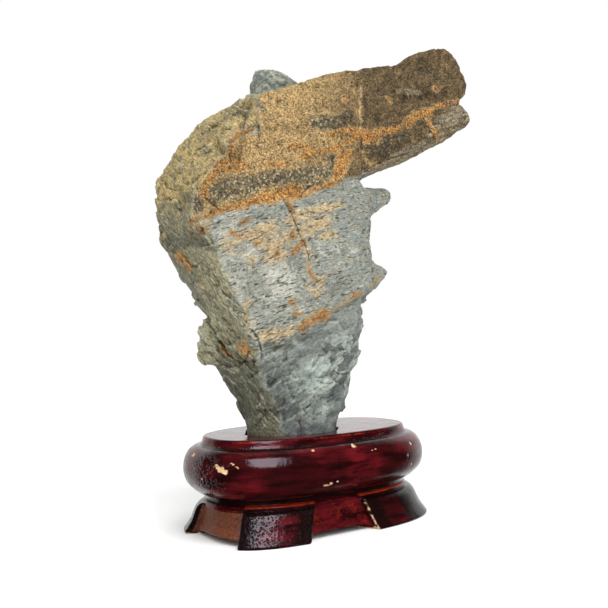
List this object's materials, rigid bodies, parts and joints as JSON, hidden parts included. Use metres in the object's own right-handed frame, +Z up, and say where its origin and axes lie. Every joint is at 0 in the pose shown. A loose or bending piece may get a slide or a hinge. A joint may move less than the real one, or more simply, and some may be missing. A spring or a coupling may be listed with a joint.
{
  "type": "scholar's rock on stand",
  "caption": "Tall layered grey and rust-brown scholar's rock with an overhanging arm, standing loose in the socket of an oval, oxblood-lacquered wooden display stand with corner feet.",
  "frame": {"origin": "centre of the box round the whole object, at the floor under the stand's feet", "axes": "+Z up; X along the stand's long side, with the rock's arm reaching towards +X; -Y is the front"},
  "size_m": [0.1664, 0.1056, 0.2715],
  "materials": {
    "layered_stone": "matt, bedded slate-like stone, blue-grey to taupe, with orange rust veins",
    "oxblood_lacquer": "thick glossy oxblood lacquer over pale wood, pitted, chipped to bare wood at a few places"
  },
  "bodies": {
    "root": {"rock": "layered_stone", "stand_top": "oxblood_lacquer", "stand_base": "oxblood_lacquer"}
  },
  "joints": []
}
